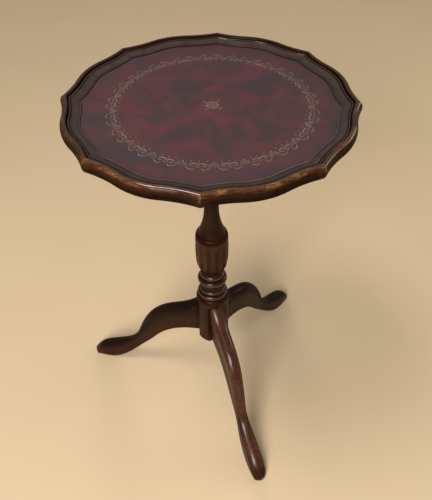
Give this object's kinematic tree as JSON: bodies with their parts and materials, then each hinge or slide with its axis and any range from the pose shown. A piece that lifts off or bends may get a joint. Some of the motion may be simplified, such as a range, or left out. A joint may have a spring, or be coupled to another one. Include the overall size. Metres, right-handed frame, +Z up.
{
  "type": "tilt top table",
  "caption": "Small pillar table with a lobed, moulded rim, a tooled leather inset, curved tripod legs and a top that tilts upright on a snap catch.",
  "frame": {"origin": "on the floor, on the pillar's axis", "axes": "+Z up along the pillar, -Y towards the front leg, the top tilts about X and its front edge rises"},
  "size_m": [0.3728, 0.377, 0.528],
  "materials": {
    "turned_mahogany": "dark polished mahogany",
    "rim_mahogany": "dark polished mahogany, worn on the edges",
    "underside_wood": "stained, unpolished",
    "panel_wood": "stained, unpolished",
    "tooled_leather": "burgundy, semi gloss, gilt tooled",
    "catch_brass": "satin, aged",
    "screw_steel": "dull"
  },
  "bodies": {
    "base": {"pillar": "turned_mahogany", "leg_front": "turned_mahogany", "leg_right": "turned_mahogany", "leg_left": "turned_mahogany", "tilt_block": "underside_wood", "block_wedge": "underside_wood", "pivot_pin_left": "screw_steel", "pivot_pin_right": "screw_steel", "keeper_plate": "catch_brass", "keeper_screws": "screw_steel"},
    "top": {"top_core": "panel_wood", "rim_moulding_1": "rim_mahogany", "rim_moulding_2": "rim_mahogany", "rim_moulding_3": "rim_mahogany", "rim_moulding_4": "rim_mahogany", "rim_moulding_5": "rim_mahogany", "rim_moulding_6": "rim_mahogany", "rim_moulding_7": "rim_mahogany", "rim_moulding_8": "rim_mahogany", "leather_inset": "tooled_leather", "bearer_left": "underside_wood", "bearer_right": "underside_wood", "bearer_screws": "screw_steel", "catch_plate": "catch_brass", "catch_case": "catch_brass", "catch_screws": "screw_steel", "catch_spring": "screw_steel"},
    "bolt": {"catch_bolt": "catch_brass", "catch_knob": "catch_brass"}
  },
  "joints": [
    {"name": "top_tilt", "type": "hinge", "parent": "base", "child": "top", "pos_m": [0, 0.025, 0.4978], "axis": [-1, 0, 0], "range_deg": [0, 90]},
    {"name": "catch_slide", "type": "slide", "parent": "top", "child": "bolt", "axis": [0, -1, 0], "range_m": [0, 0.006], "stiffness_N_per_m": 400, "springref_m": -0.006, "deforming": ["catch_spring"]}
  ]
}
